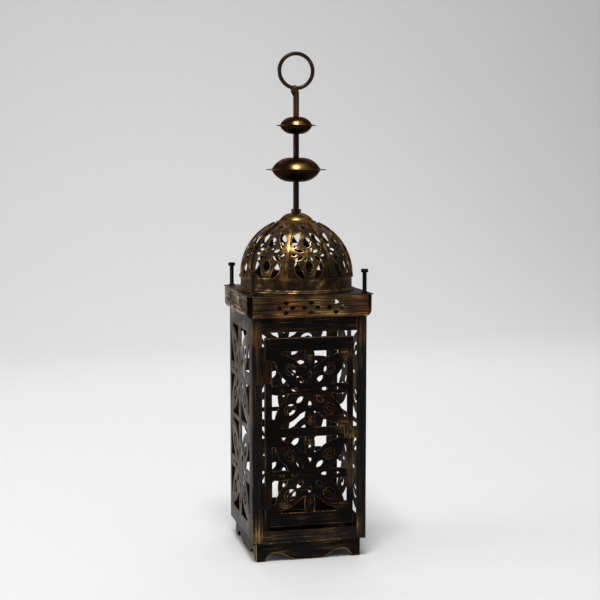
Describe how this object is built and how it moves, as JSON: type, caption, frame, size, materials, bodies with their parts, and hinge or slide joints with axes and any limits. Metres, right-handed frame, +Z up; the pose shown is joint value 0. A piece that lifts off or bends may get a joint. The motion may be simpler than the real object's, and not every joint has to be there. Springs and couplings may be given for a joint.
{
  "type": "metal lantern",
  "caption": "Square candle lantern of pierced antiqued metal with a hinged front door, a turn latch, a pierced dome and a beaded spire with a hanging ring.",
  "frame": {"origin": "centre of the base, on the ground", "axes": "+Z up the spire, the door faces -Y, the hinges are on the -X side"},
  "size_m": [0.131, 0.131, 0.5229],
  "materials": {
    "antiqued_dark": "dark brown-black paint rubbed back to bronze, brushed",
    "antiqued_panel": "dark antiqued paint with a grey-brown sheen",
    "antiqued_bronze": "antiqued bronze with worn golden edges",
    "spire_bronze": "satin antiqued bronze",
    "worn_gold": "rubbed golden bronze",
    "hinge_steel": "browned steel"
  },
  "bodies": {
    "lantern": {"back_panel": "antiqued_panel", "candle_cup": "antiqued_bronze", "collar_nut": "spire_bronze", "crown_nut": "hinge_steel", "crown_washer": "hinge_steel", "dome_cap": "spire_bronze", "dome_drum": "antiqued_bronze", "dome_gore_1": "antiqued_bronze", "dome_gore_2": "antiqued_bronze", "dome_gore_3": "antiqued_bronze", "dome_gore_4": "antiqued_bronze", "dome_gore_5": "antiqued_bronze", "dome_gore_6": "antiqued_bronze", "dome_gore_7": "antiqued_bronze", "dome_gore_8": "antiqued_bronze", "dome_rib_1": "antiqued_bronze", "dome_rib_2": "antiqued_bronze", "dome_rib_3": "antiqued_bronze", "dome_rib_4": "antiqued_bronze", "dome_rib_5": "antiqued_bronze", "dome_rib_6": "antiqued_bronze", "dome_rib_7": "antiqued_bronze", "dome_rib_8": "antiqued_bronze", "floor_plate": "antiqued_dark", "front_header": "antiqued_dark", "front_post_left": "antiqued_dark", "front_post_right": "antiqued_dark", "front_sill": "antiqued_dark", "gallery_back": "worn_gold", "gallery_front": "worn_gold", "gallery_left": "worn_gold", "gallery_right": "worn_gold", "hanging_ring": "spire_bronze", "hinge_pin_lower": "hinge_steel", "hinge_pin_upper": "hinge_steel", "hinge_post_leaf_lower": "hinge_steel", "hinge_post_leaf_upper": "hinge_steel", "large_bead_lower": "spire_bronze", "large_bead_upper": "spire_bronze", "left_panel": "antiqued_panel", "pinnacle_caps": "spire_bronze", "pinnacle_posts": "spire_bronze", "plinth_back": "antiqued_dark", "plinth_front": "antiqued_dark", "plinth_left": "antiqued_dark", "plinth_right": "antiqued_dark", "right_panel": "antiqued_panel", "ring_braze": "spire_bronze", "roof_deck": "antiqued_dark", "small_bead_lower": "spire_bronze", "small_bead_upper": "spire_bronze", "spire_rod": "spire_bronze"},
    "door": {"door_panel": "antiqued_dark", "door_returns": "antiqued_dark", "hinge_door_leaf_lower": "hinge_steel", "hinge_door_leaf_upper": "hinge_steel"},
    "latch": {"latch_plate": "worn_gold", "latch_spindle": "worn_gold", "latch_tongue": "worn_gold"}
  },
  "joints": [
    {"name": "door_swing", "type": "hinge", "parent": "lantern", "child": "door", "pos_m": [-0.04775, -0.0609, 0.1335], "axis": [0, 0, -1], "range_deg": [0, 170]},
    {"name": "latch_turn", "type": "hinge", "parent": "door", "child": "latch", "pos_m": [0.0429, -0.06, 0.133], "axis": [0, -1, 0], "range_deg": [0, 90]}
  ]
}
